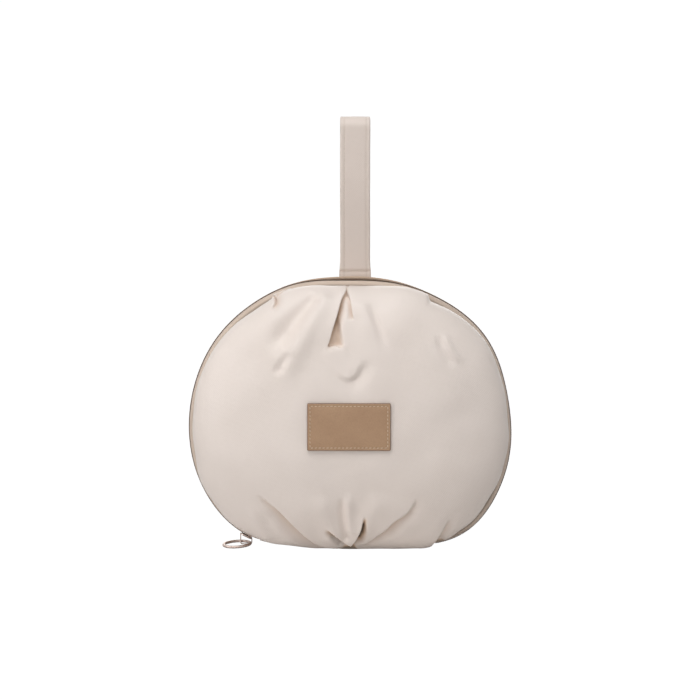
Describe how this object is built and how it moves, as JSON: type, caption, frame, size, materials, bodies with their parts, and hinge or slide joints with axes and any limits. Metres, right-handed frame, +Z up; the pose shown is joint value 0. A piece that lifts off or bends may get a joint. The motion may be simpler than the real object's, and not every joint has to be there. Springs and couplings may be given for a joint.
{
  "type": "underwear storage bag",
  "caption": "Soft round zipped clamshell pouch of puffed, gathered cloth with a wrist loop at the top, a blank sewn label and a ring pull, standing on a flattened base.",
  "frame": {"origin": "bottom centre of the bag, on the surface that it stands on", "axes": "+Z up along the wrist loop, +X to the right as the label is read, +Y from the label side to the back"},
  "size_m": [0.2154, 0.0996, 0.2864],
  "materials": {
    "panel_cloth": "soft satin-like coated cloth, cream",
    "zip_tape": "woven tape, beige",
    "zip_coil": "moulded coil, brown-beige",
    "label_leather": "tan artificial leather, satin",
    "loop_webbing": "folded and edge-stitched cloth, pale beige",
    "zip_metal": "polished, pale champagne"
  },
  "bodies": {
    "bag": {"front_panel": "panel_cloth", "back_panel": "panel_cloth", "front_zip_tape": "zip_tape", "back_zip_tape": "zip_tape", "zip_chain": "zip_coil", "base_hinge": "panel_cloth", "label": "label_leather", "wrist_loop": "loop_webbing", "slider": "zip_metal"},
    "pull": {"pull_ring": "zip_metal"}
  },
  "joints": [
    {"name": "pull_swing", "type": "hinge", "parent": "bag", "child": "pull", "pos_m": [-0.0696, 0, 0.00245], "axis": [-0.7431, 0.6691, 0], "range_deg": [-150, 28]}
  ]
}
